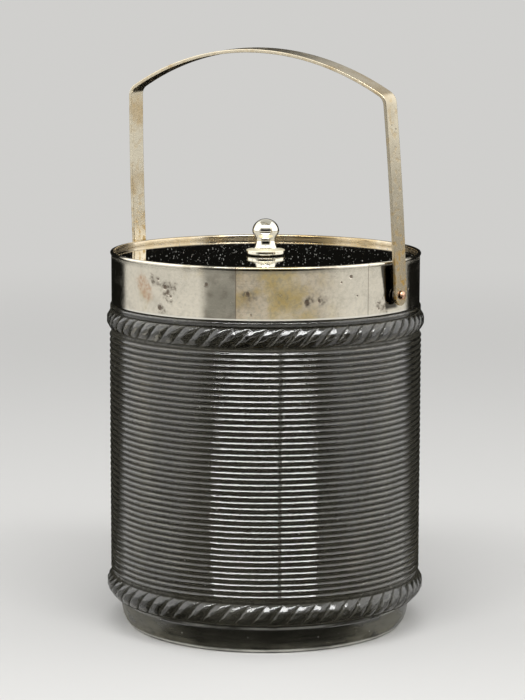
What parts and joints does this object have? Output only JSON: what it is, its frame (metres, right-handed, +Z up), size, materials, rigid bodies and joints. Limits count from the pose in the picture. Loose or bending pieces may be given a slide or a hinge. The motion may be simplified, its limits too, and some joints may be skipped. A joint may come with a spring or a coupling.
{
  "type": "jam pot",
  "caption": "Cylindrical ribbed pressed-glass jam pot with rope bands, a silver-plated collar, a drop-in lid with a turned knob and a flat-strap swing bail.",
  "frame": {"origin": "centre of the foot's underside, on the surface that the pot stands on", "axes": "+Z up the pot's axis, +X along the pivot axis of the bail, +Y across it; at rest the bail leans four degrees towards -Y"},
  "size_m": [0.0966, 0.0934, 0.1687],
  "materials": {
    "glass_jar": "smoky grey pressed glass, fire polished, with grime in its grooves",
    "mount_cement": "off-white plaster, chalky",
    "collar": "worn silver plate with golden stains and pits",
    "lid_ledge_ring": "dull silver plate",
    "lid_plate": "mirror-polished silver plate with fine specks",
    "lid_bezel": "dull silver plate",
    "lid_knob": "polished silver plate",
    "knob_screw": "turned brass",
    "knob_washer": "stamped brass",
    "bail_handle": "worn silver plate with a warm tarnish",
    "pivot_rivets": "copper, domed by hammering",
    "pivot_spacers": "nickel silver washer, dull"
  },
  "bodies": {
    "pot": {"glass_jar": "glass_jar", "mount_cement": "mount_cement", "collar": "collar", "lid_ledge_ring": "lid_ledge_ring", "pivot_rivet_right": "pivot_rivets", "pivot_rivet_left": "pivot_rivets", "pivot_spacer_right": "pivot_spacers", "pivot_spacer_left": "pivot_spacers"},
    "lid": {"lid_plate": "lid_plate", "lid_bezel": "lid_bezel", "lid_knob": "lid_knob", "knob_screw": "knob_screw", "knob_washer": "knob_washer"},
    "bail": {"bail_handle": "bail_handle"}
  },
  "joints": [
    {"name": "lid_lift", "type": "slide", "parent": "pot", "child": "lid", "axis": [0, 0, 1], "range_m": [0, 0.035]},
    {"name": "bail_swing", "type": "hinge", "parent": "pot", "child": "bail", "pos_m": [0, 0, 0.1003], "axis": [1, 0, 0], "range_deg": [-109, 101]}
  ]
}
